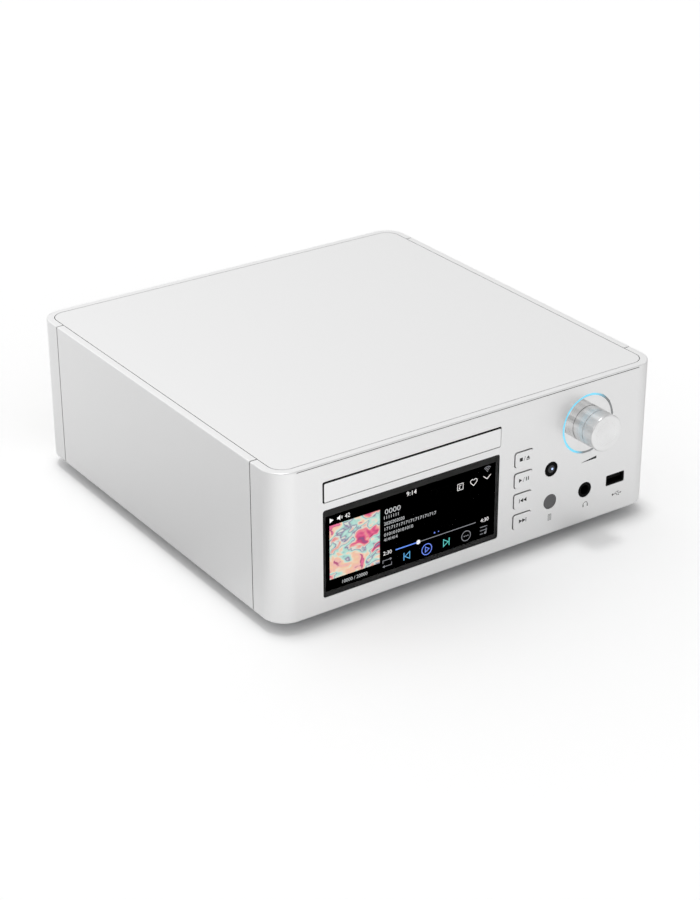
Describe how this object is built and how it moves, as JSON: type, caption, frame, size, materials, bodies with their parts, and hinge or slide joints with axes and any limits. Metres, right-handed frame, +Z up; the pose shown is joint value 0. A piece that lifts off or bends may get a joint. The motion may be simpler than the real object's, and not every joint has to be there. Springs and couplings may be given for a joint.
{
  "type": "disc player",
  "caption": "Desktop disc player in a rounded metal case, with a sliding disc tray, a screen, push buttons, a volume knob and a working disc drive inside.",
  "frame": {"origin": "on the surface it stands on, at the middle of the whole player's box", "axes": "+X to the player's right seen from the front, +Y to its back, +Z up; the front with the tray faces -Y"},
  "size_m": [0.29, 0.3136, 0.108],
  "materials": {
    "case_aluminium": "fine bead-blasted silver anodising",
    "knob_aluminium": "turned and satin anodised",
    "polished_disc": "mirror polished",
    "foot_aluminium": "turned and anodised",
    "rubber": "matt black",
    "window_glass": "black-backed flat glass",
    "indicator_glass": "smoked lens",
    "remote_filter": "grey infra-red filter",
    "screen": "dark screen module",
    "circuit_board": "green solder mask",
    "socket_plastic": "black moulded",
    "steel": "zinc plated sheet",
    "rear_paint": "fine black powder coat",
    "light_guide": "clear light guide, lit cyan",
    "drive_plastic": "black moulded",
    "gear_plastic": "natural acetal",
    "brass": "turned",
    "transformer_wrap": "varnished winding under film"
  },
  "bodies": {
    "root": {"front_panel": "case_aluminium", "left_side_panel": "case_aluminium", "right_side_panel": "case_aluminium", "rear_frame": "case_aluminium", "rear_panel": "rear_paint", "top_plate": "case_aluminium", "bottom_plate": "steel", "foot_front_left": "foot_aluminium", "foot_front_right": "foot_aluminium", "foot_rear_left": "foot_aluminium", "foot_rear_right": "foot_aluminium", "foot_pad_front_left": "rubber", "foot_pad_front_right": "rubber", "foot_pad_rear_left": "rubber", "foot_pad_rear_right": "rubber", "display_window": "window_glass", "display_module": "screen", "control_board": "circuit_board", "indicator_lens": "indicator_glass", "remote_window": "remote_filter", "headphone_jack": "socket_plastic", "usb_socket": "steel", "knob_disc": "polished_disc", "light_ring": "light_guide", "volume_encoder": "socket_plastic", "loader_chassis": "drive_plastic", "loader_bracket_left": "steel", "loader_bracket_right": "steel", "loading_motor": "steel", "drive_belt": "rubber", "clamper_bridge": "steel", "main_board": "circuit_board", "power_board": "circuit_board", "power_transformer": "transformer_wrap", "phono_sockets": "socket_plastic", "optical_socket": "socket_plastic", "data_socket": "steel", "mains_inlet": "socket_plastic"},
    "tray": {"disc_tray": "drive_plastic", "tray_fascia": "case_aluminium"},
    "tray_gear": {"tray_gear": "gear_plastic"},
    "belt_gear": {"belt_gear": "gear_plastic"},
    "motor_pulley": {"motor_pulley": "brass"},
    "cam_slider": {"cam_slider": "gear_plastic"},
    "traverse": {"traverse_frame": "drive_plastic", "guide_rod_left": "steel", "guide_rod_right": "steel", "spindle_motor": "steel", "sled_motor": "steel"},
    "turntable": {"turntable": "drive_plastic"},
    "clamper": {"clamper": "drive_plastic"},
    "sled": {"pickup_sled": "drive_plastic"},
    "sled_pinion": {"sled_pinion": "brass"},
    "button_1": {"button_1": "case_aluminium"},
    "button_2": {"button_2": "case_aluminium"},
    "button_3": {"button_3": "case_aluminium"},
    "button_4": {"button_4": "case_aluminium"},
    "volume_shaft": {"encoder_shaft": "steel"},
    "volume_knob": {"volume_knob": "knob_aluminium"},
    "power_rocker": {"power_rocker": "socket_plastic"}
  },
  "joints": [
    {"name": "tray_slide", "type": "slide", "parent": "root", "child": "tray", "axis": [0, -1, 0], "range_m": [0, 0.138]},
    {"name": "tray_gear_spin", "type": "hinge", "parent": "root", "child": "tray_gear", "pos_m": [-0.09435, -0.1036, 0.075], "axis": [0, 0, 1], "range_deg": [-5, 995]},
    {"name": "belt_gear_spin", "type": "hinge", "parent": "root", "child": "belt_gear", "pos_m": [-0.07335, -0.1036, 0.073], "axis": [0, 0, 1], "range_deg": [-2480, 5]},
    {"name": "motor_pulley_spin", "type": "hinge", "parent": "root", "child": "motor_pulley", "pos_m": [-0.03335, -0.1036, 0.075], "axis": [0, 0, 1], "range_deg": [-7360, 5]},
    {"name": "cam_slide", "type": "slide", "parent": "root", "child": "cam_slider", "axis": [1, 0, 0], "range_m": [0, 0.024]},
    {"name": "traverse_lift", "type": "hinge", "parent": "root", "child": "traverse", "pos_m": [-0.04635, 0.0399, 0.0795], "axis": [-1, 0, 0], "range_deg": [0, 4.78]},
    {"name": "turntable_spin", "type": "hinge", "parent": "traverse", "child": "turntable", "pos_m": [-0.04635, -0.05577, 0.0715], "axis": [0, -0.0833, 0.9965], "continuous": true},
    {"name": "clamper_spin", "type": "hinge", "parent": "root", "child": "clamper", "pos_m": [-0.04635, -0.0561, 0.093], "axis": [0, 0, 1], "continuous": true},
    {"name": "sled_slide", "type": "slide", "parent": "traverse", "child": "sled", "axis": [0, 0.9965, 0.0833], "range_m": [0, 0.035]},
    {"name": "sled_pinion_spin", "type": "hinge", "parent": "traverse", "child": "sled_pinion", "pos_m": [-0.00935, -0.01458, 0.07695], "axis": [0, -0.0833, 0.9965], "range_deg": [-340, 5]},
    {"name": "button_1_push", "type": "slide", "parent": "root", "child": "button_1", "axis": [0, 1, 0], "range_m": [0, 0.0008], "stiffness_N_per_m": 800},
    {"name": "button_2_push", "type": "slide", "parent": "root", "child": "button_2", "axis": [0, 1, 0], "range_m": [0, 0.0008], "stiffness_N_per_m": 800},
    {"name": "button_3_push", "type": "slide", "parent": "root", "child": "button_3", "axis": [0, 1, 0], "range_m": [0, 0.0008], "stiffness_N_per_m": 800},
    {"name": "button_4_push", "type": "slide", "parent": "root", "child": "button_4", "axis": [0, 1, 0], "range_m": [0, 0.0008], "stiffness_N_per_m": 800},
    {"name": "volume_turn", "type": "hinge", "parent": "root", "child": "volume_shaft", "pos_m": [0.089, -0.1389, 0.0786], "axis": [0, -1, 0], "continuous": true},
    {"name": "volume_push", "type": "slide", "parent": "volume_shaft", "child": "volume_knob", "axis": [0, 1, 0], "range_m": [0, 0.0008], "stiffness_N_per_m": 1500},
    {"name": "power_switch", "type": "hinge", "parent": "root", "child": "power_rocker", "pos_m": [0.10725, 0.1461, 0.048], "axis": [-1, 0, 0], "range_deg": [0, 18]}
  ],
  "couplings": [
    {"joint": "tray_gear_spin", "follows": "tray_slide", "rad_per_m": 125},
    {"joint": "belt_gear_spin", "follows": "tray_slide", "rad_per_m": -312.5},
    {"joint": "motor_pulley_spin", "follows": "tray_slide", "rad_per_m": -929.28},
    {"joint": "traverse_lift", "follows": "cam_slide", "rad_per_m": 3.4763},
    {"joint": "clamper_spin", "follows": "turntable_spin", "ratio": 1},
    {"joint": "sled_pinion_spin", "follows": "sled_slide", "rad_per_m": -166.67}
  ]
}
